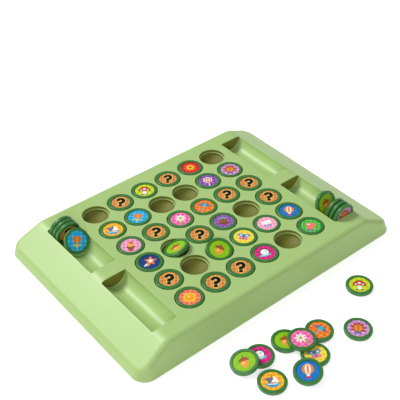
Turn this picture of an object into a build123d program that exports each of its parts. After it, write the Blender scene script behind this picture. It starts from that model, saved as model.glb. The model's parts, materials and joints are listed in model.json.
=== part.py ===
from build123d import *
import os
from math import asin, cos, radians, sin, sqrt, tan

# A memory board game: a moulded tray with a grid of wells and four storage troughs,
# and round two-faced tokens that lie in the wells, stand in the troughs or lie loose
# on the table in front. Millimetres. X runs along the tray, Y to its rear and Z up.
# The origin is the middle of the tray's underside, on the table.

# Grid of wells
well_pitch = 32.5
grid_rows = 6
grid_columns = 6

# Token: a disc with a shallow recess and a paper label in each face
token_diameter = 28.0
token_thickness = 4.0
token_edge_radius = 1.0
picture_recess_diameter = 21.8
mark_recess_diameter = 20.6
recess_depth = 1.1
label_thickness = 0.25
label_clearance = 0.2

# Well: a bore for the token, a ledge under it and a round bowl for the fingertip
well_clearance = 0.8
token_stand_proud = 0.4
ledge_width = 1.5
bowl_wall_height = 2.8
bowl_depth = 4.6
rim_radius = 0.5
ledge_edge_radius = 0.4

# Trough: a half-round channel for a row of tokens on edge
trough_clearance = 0.6
trough_axis_rise = 0.1
trough_side_height = 1.0
trough_length = 84.5
trough_land = 9.5
trough_middle_gap = 17.6
trough_end_radius = 1.5

# Tray shell
tray_height = 27.7
wall = 2.2
cup_wall = 1.8
cup_foot_radius = 5.4
side_margin = 25.05
end_margin = 34.83
wall_draft = 17.0
corner_radius = 15.5
deck_edge_radius = 6.0
roll_start_inset = 8.4
roll_radius = 22.0
roll_slope = 27.0

# Clearances between pieces that only rest on each other
seat_gap = 0.05
rest_gap = 0.1
trough_floor_gap = 0.3

# Reaches: of a cut past what it cuts, of a search for edges, of two equal heights,
# and the upright share of the direction that a face of the deck looks in
over_cut = 1.0
search_reach = 1.0
level_reach = 0.01
deck_share = 0.5

# Sizes that follow
token_radius = token_diameter / 2
half_token = token_thickness / 2
well_radius = token_radius + well_clearance
ledge_radius = well_radius - ledge_width
ledge_depth = token_thickness - token_stand_proud
bowl_start = ledge_depth + bowl_wall_height
bowl_floor = bowl_start + bowl_depth
trough_radius = token_radius + trough_clearance
trough_half_width = sqrt(trough_radius ** 2 - (trough_axis_rise + trough_side_height) ** 2)
grid_half_x = (grid_columns - 1) / 2 * well_pitch
grid_half_y = (grid_rows - 1) / 2 * well_pitch
trough_x = grid_half_x + well_radius + trough_land + trough_half_width
trough_y = (trough_middle_gap + trough_length) / 2
trough_wall_y = trough_middle_gap / 2 + trough_length
trough_edge_x = trough_x + trough_half_width
deck_end_x = trough_edge_x - roll_start_inset
tray_length = 2 * (trough_edge_x + end_margin)
tray_width = 2 * (grid_half_y + well_radius + side_margin)

# Rows of the grid from the rear to the front, each from left to right:
# P picture face up, M mark face up, T tipped in its well, a point for an empty well
well_layout = [
    ".MPMP.",
    "PP..PP",
    "PMPPMM",
    "PTMP.M",
    "M.TPPP",
    "PMMP.P",
]

# Tipped tokens by row and column: which way the low side points (degrees from +X), the
# tip, and how far the middle of the underside is moved away from the low side and lies
# under the deck, both in token diameters
tipped_tokens = {
    (4, 2): {"low_side": 121.5, "tip": 24.5, "shift": 0.080, "drop": 0.074},
    (5, 3): {"low_side": -100.0, "tip": 18.0, "shift": 0.060, "drop": 0.081},
}

# Tokens standing in the troughs: how far each leans to the rear (below 0, to the front)
# and how far the middle of the first one of a kind lies from the end wall
stack_count = 3
stack_gap = 1.8
rear_stack_lean = -12.0
rear_stack_inset = 5.4
rear_single_lean = 33.0
rear_single_inset = 34.8
front_stack_lean = -4.4
front_stack_inset = 2.4
front_single_lean = 20.0
front_single_inset = 28.4

# Loose tokens on the table, each by the middle of its disc in token diameters: to the
# right of the tray's middle, and out from the tray's front foot
loose_flat = {
    1: (2.683, 1.356),
    2: (1.086, 2.771),
    3: (0.021, 1.968),
    5: (-1.179, 1.561),
    6: (-0.840, 2.639),
    8: (-2.281, 1.497),
    10: (-2.705, 2.554),
}
loose_on_top = {4: (-0.806, 1.955)}

# Loose tokens that lean on another: on which one, the way to it and the tilt
loose_leaning = {
    7: {"on": 6, "toward": 28.2, "tilt": 9.7},
    9: {"on": 8, "toward": -6.0, "tilt": 13.0},
}


# Token and its labels
def token_blank():
    disc = Cylinder(token_radius, token_thickness)
    disc = fillet(disc.edges().filter_by(GeomType.CIRCLE), token_edge_radius)
    floor = half_token - recess_depth / 2
    picture_recess = Pos(0, 0, floor) * Cylinder(picture_recess_diameter / 2, recess_depth)
    mark_recess = Pos(0, 0, -floor) * Cylinder(mark_recess_diameter / 2, recess_depth)
    return disc - picture_recess - mark_recess


def face_label(recess_diameter, side):
    middle = half_token - recess_depth + label_thickness / 2
    return Pos(0, 0, side * middle) * Cylinder(recess_diameter / 2 - label_clearance, label_thickness)


def token_set():
    picture_label = face_label(picture_recess_diameter, 1)
    mark_label = face_label(mark_recess_diameter, -1)
    return [token_blank(), picture_label, mark_label]


# Tray
def roll_off_outline(inset):
    # The deck seen from the front: flat, then rolled down to a slope at both ends
    top = tray_height - inset
    radius = roll_radius - inset
    turn = radians(roll_slope)
    bend_x = deck_end_x + radius * sin(turn)
    bend_z = top - radius * (1 - cos(turn))
    middle_x = deck_end_x + radius * sin(turn / 2)
    middle_z = top - radius * (1 - cos(turn / 2))
    far_x = tray_length
    far_z = bend_z - (far_x - bend_x) * tan(turn)
    outline = [
        Line((0, top), (deck_end_x, top)),
        ThreePointArc((deck_end_x, top), (middle_x, middle_z), (bend_x, bend_z)),
        Line((bend_x, bend_z), (far_x, far_z)),
        Line((far_x, far_z), (0, far_z)),
        Line((0, far_z), (0, top)),
    ]
    return Plane.XZ * make_face(Wire(outline))


def tray_form(inset):
    # The tray's outer surface moved inwards by the inset, as a solid block
    foot = RectangleRounded(tray_length - 2 * inset, tray_width - 2 * inset, corner_radius - inset)
    block = extrude(foot, tray_height + over_cut, taper=wall_draft)
    half = extrude(roll_off_outline(inset), tray_width, both=True)
    form = block & (half + mirror(half, Plane.YZ))
    tops = [face for face in form.faces() if face.normal_at(face.center()).Z > deck_share]
    end_x = max(edge.center().X for face in tops for edge in face.edges())
    brow = []
    for face in tops:
        for edge in face.edges():
            middle = edge @ 0.5
            is_end = abs(middle.X) > end_x - search_reach
            is_crease = abs(middle.Y) < search_reach and not is_end
            if not is_crease:
                brow.append(edge)
    return fillet(brow, deck_edge_radius - inset)


def well_cavity():
    outer = well_radius + rim_radius
    dish_rise = bowl_depth
    dish_radius = (ledge_radius ** 2 + dish_rise ** 2) / (2 * dish_rise)
    half_turn = asin(ledge_radius / dish_radius) / 2
    dish_x = dish_radius * sin(half_turn)
    dish_z = -bowl_floor + dish_radius * (1 - cos(half_turn))
    corner = rim_radius * (1 - sqrt(0.5))
    step = ledge_edge_radius * (1 - sqrt(0.5))
    lip_x = ledge_radius + ledge_edge_radius
    outline = [
        Line((0, over_cut), (outer, over_cut)),
        Line((outer, over_cut), (outer, 0)),
        ThreePointArc((outer, 0), (well_radius + corner, -corner), (well_radius, -rim_radius)),
        Line((well_radius, -rim_radius), (well_radius, -ledge_depth)),
        Line((well_radius, -ledge_depth), (lip_x, -ledge_depth)),
        ThreePointArc(
            (lip_x, -ledge_depth),
            (ledge_radius + step, -ledge_depth - step),
            (ledge_radius, -ledge_depth - ledge_edge_radius),
        ),
        Line((ledge_radius, -ledge_depth - ledge_edge_radius), (ledge_radius, -bowl_start)),
        ThreePointArc((ledge_radius, -bowl_start), (dish_x, dish_z), (0, -bowl_floor)),
        Line((0, -bowl_floor), (0, over_cut)),
    ]
    return revolve(Plane.XZ * make_face(Wire(outline)), Axis.Z)


def well_cup():
    # The outside of a well under the deck, as a solid
    upper_height = ledge_depth + cup_wall
    full_height = bowl_floor + cup_wall
    upper = Pos(0, 0, -upper_height / 2) * Cylinder(well_radius + cup_wall, upper_height)
    lower = Pos(0, 0, -full_height / 2) * Cylinder(ledge_radius + cup_wall, full_height)
    lower = fillet(lower.edges().group_by(Axis.Z)[0], cup_foot_radius)
    return upper + lower


def trough_channel(grow):
    # A half-round channel along Y with short upright sides under its mouth
    radius = trough_radius + grow
    half_width = trough_half_width + grow
    length = trough_length + 2 * grow
    channel = Pos(0, 0, trough_axis_rise) * Rot(90, 0, 0) * Cylinder(radius, length)
    mouth = over_cut
    between = Pos(0, 0, mouth - radius) * Box(2 * half_width, length, 2 * radius)
    channel = channel & between
    ends = []
    for edge in channel.edges():
        middle = edge @ 0.5
        if abs(middle.Y) > length / 2 - search_reach and middle.Z < mouth - level_reach:
            ends.append(edge)
    return fillet(ends, trough_end_radius + grow)


def deck_height(x):
    # Height of the deck at a distance from the middle, down to the end of the roll
    past = max(abs(x) - deck_end_x, 0)
    return tray_height - roll_radius + sqrt(roll_radius ** 2 - past ** 2)


def well_places():
    for row in range(1, grid_rows + 1):
        for column in range(1, grid_columns + 1):
            x = (column - 1) * well_pitch - grid_half_x
            y = grid_half_y - (row - 1) * well_pitch
            yield row, column, x, y


def game_tray():
    deck = tray_height
    well_spots = [Pos(x, y, deck) for _, _, x, y in well_places()]
    trough_spots = [Pos(sx * trough_x, sy * trough_y, deck) for sx in (-1, 1) for sy in (-1, 1)]
    cup = well_cup()
    cavity = well_cavity()
    cups = [spot * cup for spot in well_spots]
    trough_backs = [spot * trough_channel(wall) for spot in trough_spots]
    hollow = tray_form(wall) - cups - trough_backs
    cavities = [spot * cavity for spot in well_spots]
    troughs = [spot * trough_channel(0) for spot in trough_spots]
    shell = tray_form(0) - hollow - cavities - troughs
    grid_edge_x = grid_half_x + well_radius + rim_radius
    trough_rims = []
    for edge in shell.edges():
        middle = edge @ 0.5
        across = abs(middle.X)
        if not grid_edge_x < across < trough_edge_x + rim_radius:
            continue
        on_deck = abs(middle.Z - deck_height(across)) < level_reach
        is_roll_start = abs(across - deck_end_x) < level_reach
        beside_trough = abs(middle.Y) < trough_wall_y + search_reach
        if on_deck and beside_trough and not is_roll_start:
            trough_rims.append(edge)
    return fillet(trough_rims, rim_radius)


# Places of the tokens
def flat_place(x, y, z, picture_up):
    turn = Rot(0, 0, 0) if picture_up else Rot(180, 0, 0)
    return Pos(x, y, z) * turn


def tilted_place(x, y, z, low_side, tilt):
    # Picture face up, the low side pointing the given way
    return Pos(x, y, z) * Rot(0, 0, low_side) * Rot(0, tilt, 0)


def tipped_place(x, y, low_side, tip, shift, drop):
    # Half a thickness along its own axis from the middle of the underside
    side = radians(low_side)
    out = half_token * sin(radians(tip)) - shift * token_diameter
    z = tray_height - drop * token_diameter + half_token * cos(radians(tip))
    return tilted_place(x + out * cos(side), y + out * sin(side), z, low_side, tip)


def standing_place(x, y, z, lean, picture_forward):
    # On edge across the trough, the top leaning to the rear, one face to the front
    facing = Rot(90 - lean, 0, 0)
    turn = Rot(0, 0, 0) if picture_forward else Rot(180, 0, 0)
    return Pos(x, y, z) * facing * turn


def standing_height(lean):
    # Height of a leaning token's middle over the deck when its rim nearly touches the
    # round floor: a steep one touches at the bottom, a flatter one at both sides
    reach = trough_radius - trough_floor_gap
    spread = sqrt(reach ** 2 - token_radius ** 2)
    angle = radians(abs(lean))
    if token_radius * tan(angle) >= spread:
        drop = (spread - half_token) * sin(angle)
    else:
        drop = reach - token_radius * cos(angle) - half_token * sin(angle)
    return trough_axis_rise - drop


def trough_row(x, inward, stack_lean, stack_inset, single_lean, single_inset, picture_forward):
    # A stack at the end wall and a single token further in; inward is the way in, 1 or -1
    wall_y = -inward * trough_wall_y
    step = (token_thickness + stack_gap) / cos(radians(stack_lean))
    stack_z = tray_height + standing_height(stack_lean)
    single_z = tray_height + standing_height(single_lean)
    places = []
    for count in range(stack_count):
        y = wall_y + inward * (stack_inset + count * step)
        places.append(standing_place(x, y, stack_z, stack_lean, picture_forward))
    y = wall_y + inward * single_inset
    places.append(standing_place(x, y, single_z, single_lean, True))
    return places


def loose_spot(number):
    across, out = {**loose_flat, **loose_on_top}[number]
    return across * token_diameter, -tray_width / 2 - out * token_diameter


def leaning_place(on, toward, tilt):
    # Low edge on the table, underside on the rounded rim of the token it leans on
    angle = radians(tilt)
    low = half_token * sin(angle) - token_radius * cos(angle)
    rim_height = token_thickness + rest_gap - token_edge_radius
    rise = rim_height - rest_gap + (token_edge_radius + rest_gap) / cos(angle)
    distance = token_radius - token_edge_radius + low + rise / tan(angle)
    on_x, on_y = loose_spot(on)
    x = on_x - distance * cos(radians(toward))
    y = on_y - distance * sin(radians(toward))
    z = rest_gap + half_token * cos(angle) + token_radius * sin(angle)
    return tilted_place(x, y, z, toward + 180, tilt)


def token_places():
    places = {}
    for row, column, x, y in well_places():
        state = well_layout[row - 1][column - 1]
        name = f"well_token_r{row}_c{column}"
        seat_z = tray_height - ledge_depth + seat_gap + half_token
        if state == "T":
            places[name] = tipped_place(x, y, **tipped_tokens[(row, column)])
        elif state != ".":
            places[name] = flat_place(x, y, seat_z, state == "P")
    rear = [rear_stack_lean, rear_stack_inset, rear_single_lean, rear_single_inset]
    front = [front_stack_lean, front_stack_inset, front_single_lean, front_single_inset]
    for number, place in enumerate(trough_row(-trough_x, -1, *rear, False), 1):
        places[f"rear_trough_token_{number}"] = place
    for number, place in enumerate(trough_row(trough_x, 1, *front, True), 1):
        places[f"front_trough_token_{number}"] = place
    for number in loose_flat:
        places[f"loose_token_{number}"] = flat_place(*loose_spot(number), half_token, True)
    for number in loose_on_top:
        upper_z = token_thickness + rest_gap + half_token
        places[f"loose_token_{number}"] = flat_place(*loose_spot(number), upper_z, True)
    for number, lean in loose_leaning.items():
        places[f"loose_token_{number}"] = leaning_place(**lean)
    return places


# Write one file for each node
os.makedirs("parts", exist_ok=True)
tray = game_tray()
export_step(tray, "parts/game_tray.step")
pieces = token_set()
for name, place in token_places().items():
    solids = [place * piece for piece in pieces]
    export_step(Compound(children=solids), f"parts/{name}.step")
    middle = place.position
    print(name, round(middle.X, 2), round(middle.Y, 2), round(middle.Z, 2))
print("tray volume", round(tray.volume, 1), "tray", tray_length, tray_width, tray_height)
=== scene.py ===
import json
from math import cos, radians, sin

import bpy
from mathutils import Matrix, Vector

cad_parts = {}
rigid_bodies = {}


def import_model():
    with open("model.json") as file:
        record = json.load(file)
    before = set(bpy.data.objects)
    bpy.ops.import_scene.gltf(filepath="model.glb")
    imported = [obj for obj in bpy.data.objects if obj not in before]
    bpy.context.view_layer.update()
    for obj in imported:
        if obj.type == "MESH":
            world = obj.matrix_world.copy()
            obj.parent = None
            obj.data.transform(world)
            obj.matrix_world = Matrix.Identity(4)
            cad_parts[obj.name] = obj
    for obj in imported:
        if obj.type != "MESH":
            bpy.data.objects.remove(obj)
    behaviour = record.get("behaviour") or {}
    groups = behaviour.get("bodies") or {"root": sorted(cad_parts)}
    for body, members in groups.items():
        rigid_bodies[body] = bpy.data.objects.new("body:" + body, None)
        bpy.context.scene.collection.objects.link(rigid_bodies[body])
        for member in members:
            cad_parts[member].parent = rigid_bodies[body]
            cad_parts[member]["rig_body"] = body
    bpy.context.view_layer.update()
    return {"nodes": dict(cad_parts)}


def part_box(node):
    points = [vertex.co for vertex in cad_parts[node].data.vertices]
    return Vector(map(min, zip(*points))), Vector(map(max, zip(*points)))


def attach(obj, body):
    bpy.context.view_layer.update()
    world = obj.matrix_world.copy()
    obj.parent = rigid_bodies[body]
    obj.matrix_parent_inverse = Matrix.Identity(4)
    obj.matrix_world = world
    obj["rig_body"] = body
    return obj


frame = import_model()
print("frame loaded:", len(frame["nodes"]), "nodes")

mm = 0.001


def deselectAll():
    if bpy.context.object and bpy.context.object.mode != "OBJECT":
        bpy.ops.object.mode_set(mode="OBJECT")
    bpy.ops.object.select_all(action="DESELECT")


def srgb(red, green, blue):
    # a colour as a paint chart gives it, 0 to 255, for a shader
    def linear(level):
        level = level / 255
        return level / 12.92 if level <= 0.04045 else ((level + 0.055) / 1.055) ** 2.4
    return (linear(red), linear(green), linear(blue), 1.0)


# Camera: where the photograph was taken from, over the table
view = {
    "place": (-426.4 * mm, -540.9 * mm, 609.6 * mm),
    "heading": -38.13,      # degrees from the rear, clockwise is negative
    "down": 38.84,
    "roll": -1.48,
    "lens": 76.24,
    "sensor": 36,
    "farthest": 50,         # metres
}

deselectAll()
bpy.ops.object.camera_add(location=view["place"])
camera = bpy.context.object
camera.name = "photoCamera"
turned = (
    Matrix.Rotation(radians(view["heading"]), 4, "Z")
    @ Matrix.Rotation(radians(90 - view["down"]), 4, "X")
    @ Matrix.Rotation(radians(view["roll"]), 4, "Z")
)
camera.rotation_euler = turned.to_euler()
camera.data.sensor_fit = "HORIZONTAL"
camera.data.sensor_width = view["sensor"]
camera.data.lens = view["lens"]
camera.data.clip_end = view["farthest"]
bpy.context.scene.camera = camera
bpy.context.scene.view_settings.view_transform = "Standard"
print("camera set")


# Shader maths
class Signal:
    # an output socket that reads like a number in an expression
    def __init__(self, tree, socket=None):
        self.tree = tree
        self.socket = socket

    def make(self, kind, settings=None, sockets=None, output=0):
        node = self.tree.nodes.new(kind)
        for name, value in (settings or {}).items():
            setattr(node, name, value)
        for name, value in (sockets or {}).items():
            if isinstance(value, Signal):
                self.tree.links.new(value.socket, node.inputs[name])
            else:
                node.inputs[name].default_value = value
        return Signal(self.tree, node.outputs[output])

    def math(self, operation, *values, clamp=False):
        settings = {"operation": operation, "use_clamp": clamp}
        return self.make("ShaderNodeMath", settings, dict(enumerate(values)))

    def __add__(self, other):
        return self.math("ADD", self, other)

    def __sub__(self, other):
        return self.math("SUBTRACT", self, other)

    def __rsub__(self, other):
        return self.math("SUBTRACT", other, self)

    def __mul__(self, other):
        return self.math("MULTIPLY", self, other)

    def __truediv__(self, other):
        return self.math("DIVIDE", self, other)

    def __abs__(self):
        return self.math("ABSOLUTE", self)

    def mixed(self, under, over):
        # the under colour where this signal is 0, the over colour where it is 1
        return self.make("ShaderNodeMix", {"data_type": "RGBA"}, {0: self, 6: under, 7: over}, 2)


def newMaterial(name):
    material = bpy.data.materials.new(name)
    material.use_nodes = True
    tree = material.node_tree
    shader = tree.nodes["Principled BSDF"]
    return material, shader, Signal(tree)


def feed(shader, socketName, signal):
    signal.tree.links.new(signal.socket, shader.inputs[socketName])


def length(across, up):
    square = across * across + up * up
    return square.math("SQRT", square)


def axisOf(vector, axis):
    return vector.make("ShaderNodeSeparateXYZ", None, {0: vector}, axis)


def noiseAt(place, size, detail):
    sockets = {"Vector": place, "Scale": size, "Detail": detail}
    return place.make("ShaderNodeTexNoise", None, sockets)


def roughen(shader, height, strength, depth):
    sockets = {"Height": height, "Strength": strength, "Distance": depth}
    feed(shader, "Normal", height.make("ShaderNodeBump", None, sockets))


# Tray plastic: light leaf green, satin, with the fine grain of a moulding. Down in the wells, and
# on the trough ends that face the front, olive painted shade darkens it.
trayLook = {
    "colour": (174, 205, 130),
    "deepColour": (168, 200, 122),
    "paintedShadeColour": (116, 118, 38),
    "roughness": (0.34, 0.42),
    "wellRoughness": 0.2,       # how much rougher the wells are
    "shine": 0.38,
    "cloudSize": 28,            # per metre
    "cloudDetail": 3,
    "grainSize": 2600,          # per metre
    "grainDetail": 2,
    "grainStrength": 0.25,
    "grainDepth": 0.01 * mm,
}

# Where the tray's hollows lie, which take the painted shade. The deck is a height over the foot;
# the tops, fulls, floors and ends are depths under the deck.
hollow = {
    "deck": 27.7 * mm,
    "pitch": 32.5 * mm,
    "foldPitches": 10,          # keeps what is folded above nothing
    "gridHalf": 97.5 * mm,
    "wellReach": 15.0 * mm,     # from a well's middle to just outside its bore
    "top": 0.5 * mm,
    "full": 1.6 * mm,           # from here down the olive painted shade is full
    "wellEnd": 11.5 * mm,
    "ledgeRadius": 13.2 * mm,   # the ledge that a token lies on gets a painted highlight: less painted shade
    "ledgeDepth": 3.8 * mm,
    "ledgeHalf": 0.4 * mm,
    # painted highlight: how much of the painted shade the ledge loses
    "ledgePaintedHighlight": 0.75,
    "troughEdge": 134.9 * mm,
    "troughFloor": 14.0 * mm,
    "frontGain": 3,             # how fast the olive painted shade comes in as a face turns to the front
    "frontStart": 1.6,
}


def within(mask, pairs):
    # the mask where each signal is under its limit
    for signal, limit in pairs:
        mask = mask * signal.math("LESS_THAN", signal, hollow[limit])
    return mask


# painted shade: olive inside the wells, fading in from just under the deck, with a painted
# highlight on the ledge
def paintedWellShade(across, along, depth):
    half = hollow["pitch"] / 2
    shift = hollow["pitch"] * hollow["foldPitches"] - half
    toWell = length(*[side.math("PINGPONG", side + shift, half) for side in (across, along)])
    span = hollow["full"] - hollow["top"]
    mask = depth.math("MULTIPLY_ADD", depth, 1 / span, -hollow["top"] / span, clamp=True)
    mask = within(mask, ((toWell, "wellReach"), (depth, "wellEnd")))
    mask = within(mask, ((abs(across), "gridHalf"), (abs(along), "gridHalf")))
    # painted highlight: the ledge keeps most of the plain green
    onLedge = toWell.math("GREATER_THAN", toWell, hollow["ledgeRadius"])
    onLedge = onLedge * depth.math("COMPARE", depth, hollow["ledgeDepth"], hollow["ledgeHalf"])
    return mask * (1 - onLedge * hollow["ledgePaintedHighlight"])


# painted shade: olive on the trough end walls that face the front
def paintedTroughEndShade(across, along, depth, toRear):
    gain, start = hollow["frontGain"], hollow["frontStart"]
    mask = toRear.math("MULTIPLY_ADD", toRear, -gain, -start, clamp=True)
    mask = mask * across.math("GREATER_THAN", abs(across), hollow["gridHalf"])
    mask = mask * depth.math("GREATER_THAN", depth, hollow["top"])
    mask = within(mask, ((abs(across), "troughEdge"), (abs(along), "gridHalf")))
    return within(mask, ((depth, "troughFloor"),))


def makeTrayPlastic():
    material, shader, start = newMaterial("trayPlastic")
    place = start.make("ShaderNodeTexCoord", output=3)
    facing = start.make("ShaderNodeTexCoord", output=1)
    clouds = noiseAt(place, trayLook["cloudSize"], trayLook["cloudDetail"])
    grain = noiseAt(place, trayLook["grainSize"], trayLook["grainDetail"])
    plain = clouds.mixed(srgb(*trayLook["colour"]), srgb(*trayLook["deepColour"]))
    across, along, up = [axisOf(place, axis) for axis in range(3)]
    toRear = axisOf(facing, 1)
    depth = hollow["deck"] - up
    # painted shade masks: olive in the wells and on the front-facing trough ends, mixed into the
    # base colour below
    wells = paintedWellShade(across, along, depth)
    ends = paintedTroughEndShade(across, along, depth, toRear)
    feed(shader, "Base Color", (wells + ends).mixed(plain, srgb(*trayLook["paintedShadeColour"])))
    low, high = trayLook["roughness"]
    feed(shader, "Roughness", grain * (high - low) + wells * trayLook["wellRoughness"] + low)
    roughen(shader, grain, trayLook["grainStrength"], trayLook["grainDepth"])
    shader.inputs["Specular IOR Level"].default_value = trayLook["shine"]
    return material


# Token plastic: deep green, glossier than the tray
tokenLook = {
    "colour": (62, 130, 58),
    "deepColour": (48, 114, 48),
    "roughness": (0.26, 0.38),
    "cloudSize": 260,           # per metre
    "cloudDetail": 3,
    "grainSize": 4200,          # per metre
    "grainDetail": 2,
    "grainStrength": 0.2,
    "grainDepth": 0.015 * mm,
}


def makeTokenPlastic():
    material, shader, start = newMaterial("tokenPlastic")
    place = start.make("ShaderNodeTexCoord", output=3)
    clouds = noiseAt(place, tokenLook["cloudSize"], tokenLook["cloudDetail"])
    grain = noiseAt(place, tokenLook["grainSize"], tokenLook["grainDetail"])
    colour = clouds.mixed(srgb(*tokenLook["colour"]), srgb(*tokenLook["deepColour"]))
    feed(shader, "Base Color", colour)
    low, high = tokenLook["roughness"]
    feed(shader, "Roughness", clouds * (high - low) + low)
    roughen(shader, grain, tokenLook["grainStrength"], tokenLook["grainDepth"])
    return material


trayPlastic = makeTrayPlastic()
tokenPlastic = makeTokenPlastic()
for name, node in frame["nodes"].items():
    look = trayPlastic if name == "game_tray" else tokenPlastic
    node.data.materials.clear()
    node.data.materials.append(look)
print("plastics set")


# Printed shapes. A label's face runs from -1 to 1 across and up; each shape gives a mask.
printEdge = 0.035       # softness of a printed edge


def inside(depth):
    # 1 where the depth inside a shape is above nothing, with a soft edge
    return depth.math("MULTIPLY_ADD", depth, 1 / printEdge, 0.5, clamp=True)


def local(across, up, centre, turn):
    dx = across - centre[0]
    dy = up - centre[1]
    c, s = cos(radians(turn)), sin(radians(turn))
    return dx * c + dy * s, dy * c - dx * s


def oval(across, up, centre, size, turn=0):
    dx, dy = local(across, up, centre, turn)
    return inside((1 - length(dx / size[0], dy / size[1])) * min(size))


def bar(across, up, centre, size, turn=0):
    dx, dy = local(across, up, centre, turn)
    return inside(dx.math("MINIMUM", size[0] - abs(dx), size[1] - abs(dy)))


def dome(across, up, centre, size, turn=0):
    # the upper half of an oval
    dy = local(across, up, centre, turn)[1]
    return oval(across, up, centre, size, turn) * inside(dy)


def bowl(across, up, centre, size, turn=0):
    # the lower half of an oval
    dy = local(across, up, centre, turn)[1]
    return oval(across, up, centre, size, turn) * inside(0 - dy)


def ring(across, up, centre, radius, width):
    dx, dy = local(across, up, centre, 0)
    return inside(width - abs(length(dx, dy) - radius))


def flower(across, up, centre, radius, count, depth=0.3, turn=0):
    dx, dy = local(across, up, centre, turn)
    wave = dx.math("COSINE", dx.math("ARCTAN2", dx, dy) * count)
    return inside(wave * (radius * depth) + radius * (1 - depth) - length(dx, dy))


def star(across, up, centre, radius, count, depth=0.5, turn=0):
    dx, dy = local(across, up, centre, turn)
    notch = abs(dx.math("SINE", dx.math("ARCTAN2", dx, dy) * (count / 2)))
    return inside(radius - notch * (radius * depth) - length(dx, dy))


def hook(across, up, centre, radius, width):
    # a ring without its lower left quarter
    dx, dy = local(across, up, centre, 0)
    gap = inside(0 - dx) * inside(0 - dy)
    return ring(across, up, centre, radius, width) * (1 - gap)


# Printed grounds, in the same units as the shapes
groundLook = {
    "patchSize": 5,
    "patchDetail": 4,
    "patchGain": 3,
    "patchStart": 1,
    "squares": 4.5,         # of the gingham, in each unit
    "dotStep": 0.4,
    "dotRadius": 0.08,
    "shift": 4,             # keeps what is folded above nothing
}


def mottled(across, up, face, tones):
    noise = noiseAt(face, groundLook["patchSize"], groundLook["patchDetail"])
    gain, start = groundLook["patchGain"], groundLook["patchStart"]
    patches = noise.math("MULTIPLY_ADD", noise, gain, -start, clamp=True)
    return patches.mixed(srgb(*tones[0]), srgb(*tones[1]))


def folded(signal, step):
    return signal.math("PINGPONG", signal + groundLook["shift"], step)


def gingham(across, up, face, tones):
    step = 1 / groundLook["squares"]
    columns = across.math("GREATER_THAN", folded(across, step), step / 2)
    rows = up.math("GREATER_THAN", folded(up, step), step / 2)
    return ((columns + rows) * 0.5).mixed(srgb(*tones[0]), srgb(*tones[1]))


def dotted(across, up, face, tones):
    half = groundLook["dotStep"] / 2
    toDot = length(folded(across, half), folded(up, half))
    return inside(groundLook["dotRadius"] - toDot).mixed(srgb(*tones[0]), srgb(*tones[1]))


white = (250, 248, 242)
black = (14, 12, 12)

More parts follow.
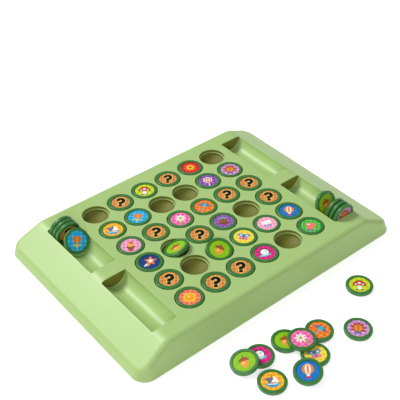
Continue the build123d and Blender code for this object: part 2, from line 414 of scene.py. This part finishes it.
# Picture designs: a ground and plain motifs of fruit, flowers, sky and toys
designs = {
    "toadstool": (gingham, ((222, 232, 60), (182, 206, 16)), [
        (bar, black, (0, -0.62), (0.34, 0.07)), (bar, white, (0, -0.32), (0.19, 0.3)),
        (dome, black, (0, -0.1), (0.62, 0.7)), (dome, (214, 40, 46), (0, -0.06), (0.55, 0.6)),
        (oval, white, (0, 0.24), (0.15, 0.13)), (oval, white, (-0.33, 0.08), (0.1, 0.09)),
        (oval, white, (0.33, 0.08), (0.1, 0.09)),
    ]),
    "sunflower": (mottled, ((226, 44, 50), (204, 30, 44)), [
        (flower, (248, 150, 30), (0, 0.05), 0.66, 10, 0.22),
        (oval, (250, 206, 60), (0, 0.05), (0.34, 0.34)),
        (oval, (196, 92, 20), (0, 0.05), (0.18, 0.18)),
    ]),
    "sailboat": (gingham, ((255, 206, 70), (246, 158, 14)), [
        (bowl, (40, 160, 206), (0, -0.2), (0.62, 0.42)),
        (bar, (96, 88, 100), (0, 0.22), (0.04, 0.46)), (star, white, (0.2, 0.12), 0.4, 3, 0.45),
        (star, (120, 116, 132), (-0.22, 0.16), 0.42, 3, 0.45, 180),
        (bar, white, (0, -0.3), (0.42, 0.05)),
    ]),
    "tulip": (gingham, ((70, 200, 244), (8, 154, 222)), [
        (bar, (226, 210, 40), (0, -0.42), (0.07, 0.3)),
        (oval, (226, 210, 40), (-0.2, -0.42), (0.2, 0.09), -35),
        (oval, (236, 196, 40), (0.2, -0.42), (0.2, 0.09), 35),
        (oval, (238, 116, 32), (0, 0.2), (0.42, 0.4)),
        (star, (20, 178, 238), (0, 0.66), 0.3, 3, 0.3, 180),
        (oval, (250, 158, 50), (0, 0.1), (0.16, 0.3)),
    ]),
    "lollipop": (gingham, ((166, 116, 196), (120, 62, 158)), [
        (bar, white, (0, -0.5), (0.05, 0.34)), (oval, white, (0, 0.16), (0.46, 0.46)),
        (ring, (220, 36, 60), (0, 0.16), 0.3, 0.06),
        (oval, (220, 36, 60), (0, 0.16), (0.12, 0.12)),
        (bar, (220, 36, 60), (0, -0.34), (0.2, 0.07)),
    ]),
    "autumn_leaf": (gingham, ((226, 176, 222), (186, 118, 192)), [
        (flower, (176, 74, 30), (0, 0.06), 0.72, 9, 0.16),
        (flower, (240, 146, 56), (0, 0.04), 0.44, 7, 0.12),
        (bar, (120, 52, 30), (0, 0.0), (0.03, 0.4)),
        (oval, (54, 110, 190), (0, -0.46), (0.22, 0.13)),
    ]),
    "ice_cream": (gingham, ((250, 186, 216), (234, 126, 180)), [
        (star, (150, 84, 40), (0, -0.36), 0.5, 3, 0.42, 180),
        (oval, (246, 168, 80), (0, 0.14), (0.36, 0.34)),
        (oval, (200, 96, 50), (0.02, 0.4), (0.2, 0.16)),
        (oval, (250, 206, 150), (-0.12, 0.2), (0.09, 0.08)),
    ]),
    "daisy": (gingham, ((254, 146, 198), (240, 76, 156)), [
        (bar, (150, 180, 40), (0, -0.5), (0.05, 0.3)),
        (oval, (160, 184, 40), (0.2, -0.46), (0.2, 0.1), 30),
        (flower, white, (0, 0.14), 0.56, 8, 0.26),
        (oval, (170, 186, 40), (0, 0.14), (0.17, 0.17)),
    ]),
    "umbrella": (gingham, ((255, 158, 66), (238, 104, 14)), [
        (bar, (60, 170, 200), (0, -0.25), (0.045, 0.4)),
        (hook, (60, 170, 200), (-0.1, -0.6), 0.1, 0.045),
        (dome, (112, 116, 146), (0, 0.02), (0.64, 0.56)),
        (dome, (70, 190, 206), (0, 0.02), (0.22, 0.54)),
        (oval, (248, 128, 26), (-0.43, 0.0), (0.2, 0.1)),
        (oval, (248, 128, 26), (0.43, 0.0), (0.2, 0.1)),
    ]),
    "shooting_star": (mottled, ((28, 70, 142), (20, 56, 124)), [
        (oval, white, (-0.26, -0.3), (0.36, 0.1), 50),
        (oval, (238, 150, 60), (-0.06, -0.36), (0.3, 0.08), 50),
        (star, (242, 126, 36), (0.1, 0.16), 0.62, 5, 0.5),
        (star, white, (0.1, 0.16), 0.3, 5, 0.5),
    ]),
    "acorn": (mottled, ((150, 206, 24), (128, 190, 16)), [
        (oval, (240, 158, 60), (0, -0.14), (0.36, 0.48)),
        (oval, (250, 196, 110), (-0.1, -0.1), (0.12, 0.24)),
        (dome, (158, 88, 40), (0, 0.04), (0.48, 0.4)),
        (bar, (120, 66, 30), (0, 0.52), (0.05, 0.12)),
    ]),
    "bell": (gingham, ((166, 112, 190), (136, 78, 166)), [
        (oval, (112, 64, 36), (0, -0.44), (0.12, 0.12)),
        (dome, (150, 88, 48), (0, -0.34), (0.46, 0.86)),
        (bar, (112, 64, 36), (0, -0.34), (0.54, 0.07)),
        (oval, (60, 196, 214), (-0.17, 0.5), (0.17, 0.11), 25),
        (oval, (60, 196, 214), (0.17, 0.5), (0.17, 0.11), -25),
    ]),
    "butterfly": (gingham, ((254, 238, 100), (246, 204, 20)), [
        (oval, (96, 150, 200), (-0.3, 0.22), (0.32, 0.24), -35),
        (oval, (96, 150, 200), (0.3, 0.22), (0.32, 0.24), 35),
        (oval, (240, 130, 160), (-0.24, -0.24), (0.24, 0.2), 30),
        (oval, (240, 130, 160), (0.24, -0.24), (0.24, 0.2), -30),
        (oval, white, (-0.3, 0.22), (0.11, 0.1)), (oval, white, (0.3, 0.22), (0.11, 0.1)),
        (bar, (70, 76, 100), (0, 0.0), (0.05, 0.42)),
    ]),
    "rain_cloud": (gingham, ((254, 200, 216), (246, 148, 182)), [
        (oval, white, (-0.24, 0.16), (0.3, 0.22)), (oval, white, (0.2, 0.2), (0.34, 0.28)),
        (bar, white, (0, 0.04), (0.42, 0.1)),
        (oval, (70, 140, 210), (-0.28, -0.3), (0.08, 0.16)),
        (oval, (70, 140, 210), (0.02, -0.38), (0.08, 0.16)),
        (oval, (70, 140, 210), (0.3, -0.3), (0.08, 0.16)),
    ]),
    "balloon": (mottled, ((32, 128, 206), (22, 110, 190)), [
        (bar, (206, 40, 50), (0, -0.56), (0.17, 0.13)),
        (star, white, (0, -0.18), 0.34, 3, 0.4, 180),
        (oval, (244, 134, 40), (0, 0.2), (0.5, 0.5)), (oval, white, (0, 0.2), (0.26, 0.5)),
        (oval, (244, 134, 40), (0, 0.2), (0.1, 0.5)),
    ]),
    "sun": (gingham, ((252, 150, 122), (234, 96, 76)), [
        (star, (250, 196, 50), (0, 0), 0.74, 12, 0.3),
        (oval, (248, 160, 36), (0, 0), (0.38, 0.38)),
        (oval, (252, 214, 90), (-0.08, 0.1), (0.16, 0.14)),
    ]),
    "planet": (gingham, ((236, 60, 150), (214, 24, 122)), [
        (oval, (52, 40, 56), (0, 0.14), (0.5, 0.5)), (oval, white, (0, 0.12), (0.4, 0.4)),
        (oval, (60, 190, 216), (0, -0.3), (0.6, 0.16), 12),
        (oval, white, (0.02, -0.26), (0.34, 0.07), 12),
        (oval, (196, 196, 210), (0.14, 0.24), (0.11, 0.1)),
    ]),
    "heart": (dotted, ((70, 190, 72), (160, 222, 120)), [
        (oval, (242, 128, 112), (-0.2, 0.16), (0.3, 0.3)),
        (oval, (242, 128, 112), (0.2, 0.16), (0.3, 0.3)),
        (star, (242, 128, 112), (0, -0.12), 0.62, 3, 0.42, 180),
        (oval, white, (-0.2, 0.2), (0.11, 0.11)),
        (bar, (60, 110, 196), (0, -0.62), (0.3, 0.08)),
    ]),
}


# Gloss paper: smooth, with a faint unevenness under the ink
paperLook = {
    "roughness": (0.38, 0.54),
    "shine": 0.2,
    "fibreSize": 34,        # across a label
    "fibreDetail": 3,
    "fibreStrength": 0.15,
    "fibreDepth": 0.04 * mm,
}


def finishPrint(shader, face):
    fibre = noiseAt(face, paperLook["fibreSize"], paperLook["fibreDetail"])
    low, high = paperLook["roughness"]
    feed(shader, "Roughness", fibre * (high - low) + low)
    shader.inputs["Specular IOR Level"].default_value = paperLook["shine"]
    roughen(shader, fibre, paperLook["fibreStrength"], paperLook["fibreDepth"])


def faceSignals(start):
    face = start.make("ShaderNodeUVMap", {"uv_map": "face"})
    return face, axisOf(face, 0) * 2 - 1, axisOf(face, 1) * 2 - 1


def makePicture(name, ground, tones, shapes):
    material, shader, start = newMaterial("print_" + name)
    face, across, up = faceSignals(start)
    colour = ground(across, up, face, tones)
    for shape, ink, *sizes in shapes:
        colour = shape(across, up, *sizes).mixed(colour, srgb(*ink))
    feed(shader, "Base Color", colour)
    finishPrint(shader, face)
    return material


# The mark: a bold question mark on an orange-brown ground
markLook = {
    "tones": ((232, 168, 88), (206, 116, 62)),
    "ink": (6, 5, 5),
    "halo": (246, 214, 110),
    "hookCentre": (0.0, 0.26),
    "hookRadius": 0.32,
    "stroke": 0.19,
    "haloWidth": 0.065,
    "stem": (0.0, -0.12),
    "stemExtra": 0.02,          # how much longer than its stroke the stem is
    "dot": (0.0, -0.54),
    "dotShares": (1.15, 1.05),  # of the stroke
}


def makeMark():
    material, shader, start = newMaterial("print_mark")
    face, across, up = faceSignals(start)
    colour = gingham(across, up, face, markLook["tones"])
    for extra, ink in ((markLook["haloWidth"], markLook["halo"]), (0, markLook["ink"])):
        stroke = markLook["stroke"] + extra
        stemSize = (stroke, stroke + markLook["stemExtra"])
        dotSize = [stroke * share for share in markLook["dotShares"]]
        for mask in (
            hook(across, up, markLook["hookCentre"], markLook["hookRadius"], stroke),
            bar(across, up, markLook["stem"], stemSize),
            oval(across, up, markLook["dot"], dotSize),
        ):
            colour = mask.mixed(colour, srgb(*ink))
    feed(shader, "Base Color", colour)
    finishPrint(shader, face)
    return material


prints = {name: makePicture(name, *parts) for name, parts in designs.items()}
prints["mark"] = makeMark()
print("prints set:", len(prints))


# Labels: thin paper discs in the recesses of the tokens
label = {
    "pictureRadius": 10.76 * mm,
    "markRadius": 10.16 * mm,
    "thickness": 0.24 * mm,
    "foot": 0.97 * mm,          # height of its underside over the middle of the token
    "edge": 0.06 * mm,
    "edgeSegments": 2,
    "rings": (0.04, 0.4),       # insets of its top face, as shares of its radius
    "sides": 72,
}


def makeLabel(name, radius):
    # modelled lying at the origin, its top face with a map from 0 to 1 across and up
    deselectAll()
    bpy.ops.mesh.primitive_circle_add(vertices=label["sides"], radius=radius, fill_type="NGON")
    piece = bpy.context.object
    piece.name = name
    bpy.ops.object.mode_set(mode="EDIT")
    bpy.ops.mesh.select_all(action="SELECT")
    bpy.ops.mesh.extrude_region_move(TRANSFORM_OT_translate={"value": (0, 0, label["thickness"])})
    for share in label["rings"]:
        bpy.ops.mesh.inset(thickness=radius * share)
    bpy.ops.mesh.select_all(action="SELECT")
    bpy.ops.mesh.normals_make_consistent(inside=False)
    bpy.ops.object.mode_set(mode="OBJECT")
    bevel = piece.modifiers.new("edge", "BEVEL")
    bevel.width = label["edge"]
    bevel.segments = label["edgeSegments"]
    bevel.limit_method = "ANGLE"
    bpy.ops.object.modifier_apply(modifier=bevel.name)
    faceMap = piece.data.uv_layers.new(name="face")
    for corner in piece.data.loops:
        spot = piece.data.vertices[corner.vertex_index].co
        faceMap.data[corner.index].uv = [side / (2 * radius) + 0.5 for side in (spot.x, spot.y)]
    for face in piece.data.polygons:
        face.use_smooth = False
    return piece


# How the tokens lie, in degrees: a lean is back from upright, a tilt is from level, and the
# low side is the heading that a tilted token slopes down to. Front is 1 where the picture
# faces the front, and -1 where the mark does.
rearStack = {"lean": -12, "front": -1}
rearFrontmost = {"lean": 33, "front": 1}
frontStack = {"lean": -4.4, "front": 1}
frontRearmost = {"lean": 20, "front": 1}
tipped = {
    "well_token_r4_c2": {"lowSide": 121.5, "tilt": 24.5},
    "well_token_r5_c3": {"lowSide": -100, "tilt": 18},
    "loose_token_7": {"lowSide": 208.2, "tilt": 9.7},
    "loose_token_9": {"lowSide": 174, "tilt": 13},
}


def pictureAxis(name):
    # the direction that the picture side of a token faces
    if name in tipped:
        lowSide, tilt = radians(tipped[name]["lowSide"]), radians(tipped[name]["tilt"])
        return Vector((cos(lowSide) * sin(tilt), sin(lowSide) * sin(tilt), cos(tilt)))
    if "trough" in name:
        last = name.endswith("4")
        if name.startswith("rear"):
            stand = rearFrontmost if last else rearStack
        else:
            stand = frontRearmost if last else frontStack
        lean = radians(stand["lean"])
        return Vector((0, -cos(lean), sin(lean))) * stand["front"]
    if name.startswith("well") and name not in pictures:
        return Vector((0, 0, -1))
    return Vector((0, 0, 1))


def tokenCentre(name):
    low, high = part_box(name)
    return (Vector(low) + Vector(high)) / 2


# Which picture each token has, and how far its top is turned from the camera's up, in degrees
photoUp = 51.9      # heading of the camera's up on the deck, degrees from +X
lyingAxis = 0.8     # a face whose axis is less upright than this has its top at the top
pictures = {
    "well_token_r1_c3": ("toadstool", 4), "well_token_r1_c5": ("sunflower", -6),
    "well_token_r2_c1": ("sailboat", 8), "well_token_r2_c2": ("tulip", -5),
    "well_token_r2_c5": ("lollipop", 12), "well_token_r2_c6": ("autumn_leaf", 0),
    "well_token_r3_c1": ("ice_cream", 5), "well_token_r3_c3": ("daisy", 0),
    "well_token_r3_c4": ("umbrella", -14), "well_token_r4_c1": ("shooting_star", 4),
    "well_token_r4_c2": ("acorn", 28), "well_token_r4_c4": ("bell", 8),
    "well_token_r5_c3": ("acorn", -18), "well_token_r5_c4": ("butterfly", -10),
    "well_token_r5_c5": ("rain_cloud", 16), "well_token_r5_c6": ("balloon", 0),
    "well_token_r6_c1": ("sun", -4), "well_token_r6_c4": ("planet", 6),
    "well_token_r6_c6": ("heart", -8),
    "rear_trough_token_4": ("tulip", -24), "front_trough_token_1": ("autumn_leaf", 0),
    "front_trough_token_4": ("acorn", 10),
    "loose_token_1": ("toadstool", -6), "loose_token_2": ("autumn_leaf", -12),
    "loose_token_3": ("umbrella", -40), "loose_token_4": ("daisy", 42),
    "loose_token_5": ("acorn", 4), "loose_token_6": ("butterfly", 16),
    "loose_token_7": ("balloon", -2), "loose_token_8": ("planet", 10),
    "loose_token_9": ("acorn", 12), "loose_token_10": ("sailboat", 4),
}
hiddenPictures = sorted(designs)


def upOnFace(axis, turn):
    # the camera's up direction laid on the face, then turned about the face's axis
    heading = Vector((cos(radians(photoUp)), sin(radians(photoUp)), 0))
    if abs(axis.z) < lyingAxis:
        heading = Vector((0, 0, 1))
    flat = (heading - axis * heading.dot(axis)).normalized()
    return Matrix.Rotation(radians(turn), 3, axis) @ flat


def layLabel(pattern, node, centre, axis, turn, material):
    piece = pattern.copy()
    piece.data = pattern.data.copy()
    bpy.context.scene.collection.objects.link(piece)
    up = upOnFace(axis, turn)
    across = up.cross(axis)
    place = Matrix((across, up, axis)).transposed().to_4x4()
    place.translation = centre + axis * label["foot"]
    piece.data.transform(place)
    piece.data.materials.clear()
    piece.data.materials.append(material)
    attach(piece, node.get("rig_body"))
    return piece


pictureLabel = makeLabel("pictureLabel", label["pictureRadius"])
markLabel = makeLabel("markLabel", label["markRadius"])
tokenNames = sorted(name for name in frame["nodes"] if name != "game_tray")
for count, name in enumerate(tokenNames):
    node = frame["nodes"][name]
    centre, axis = tokenCentre(name), pictureAxis(name)
    picture, turn = pictures.get(name, (hiddenPictures[count % len(hiddenPictures)], 0))
    front = layLabel(pictureLabel, node, centre, axis, turn, prints[picture])
    front.name = name + "_picture_label"
    back = layLabel(markLabel, node, centre, -axis, turn, prints["mark"])
    back.name = name + "_mark_label"
for pattern in (pictureLabel, markLabel):
    bpy.data.objects.remove(pattern)
print("labels laid:", 2 * len(tokenNames))


# Studio: a white table, a soft light over the rear and a weaker one from the front left
studio = {
    "floorSize": 12,
    "floorShade": 0.9,
    "floorRoughness": 0.9,
    "floorLevel": -0.0002,
    "floorGlow": 0.55,
    "ambient": 0.33,
    "key": {"place": (-1.2, 3.05, 3.75), "size": 1.6, "power": 180},
    "side": {"place": (-2.0, -2.4, 1.6), "size": 1.5, "power": 38},
}


def makeFloor():
    deselectAll()
    place = (0, 0, studio["floorLevel"])
    bpy.ops.mesh.primitive_plane_add(size=studio["floorSize"], location=place)
    floor = bpy.context.object
    floor.name = "studioFloor"
    material, shader, start = newMaterial("studioWhite")
    shader.inputs["Base Color"].default_value = (*[studio["floorShade"]] * 3, 1)
    shader.inputs["Roughness"].default_value = studio["floorRoughness"]
    shader.inputs["Specular IOR Level"].default_value = 0
    seen = start.make("ShaderNodeLightPath", output=0)
    mirrored = start.make("ShaderNodeLightPath", output=3)
    feed(shader, "Emission Strength", (seen + mirrored) * studio["floorGlow"])
    shader.inputs["Emission Color"].default_value = (1, 1, 1, 1)
    floor.data.materials.append(material)


def makeWorld():
    world = bpy.data.worlds.new("studioRoom")
    bpy.context.scene.world = world
    world.use_nodes = True
    start = Signal(world.node_tree)
    paths = world.node_tree.nodes.new("ShaderNodeLightPath")
    seen = Signal(world.node_tree, paths.outputs["Is Camera Ray"])
    strength = seen * (1 - studio["ambient"]) + studio["ambient"]
    background = world.node_tree.nodes["Background"]
    background.inputs["Color"].default_value = (1, 1, 1, 1)
    world.node_tree.links.new(strength.socket, background.inputs["Strength"])


def makeLight(name, place, size, power):
    deselectAll()
    bpy.ops.object.light_add(type="AREA", location=place)
    lamp = bpy.context.object
    lamp.name = name
    lamp.data.size = size
    lamp.data.energy = power
    lamp.rotation_euler = Vector(place).to_track_quat("Z", "Y").to_euler()


makeFloor()
makeWorld()
makeLight("keyLight", **studio["key"])
makeLight("sideLight", **studio["side"])
print("studio set")
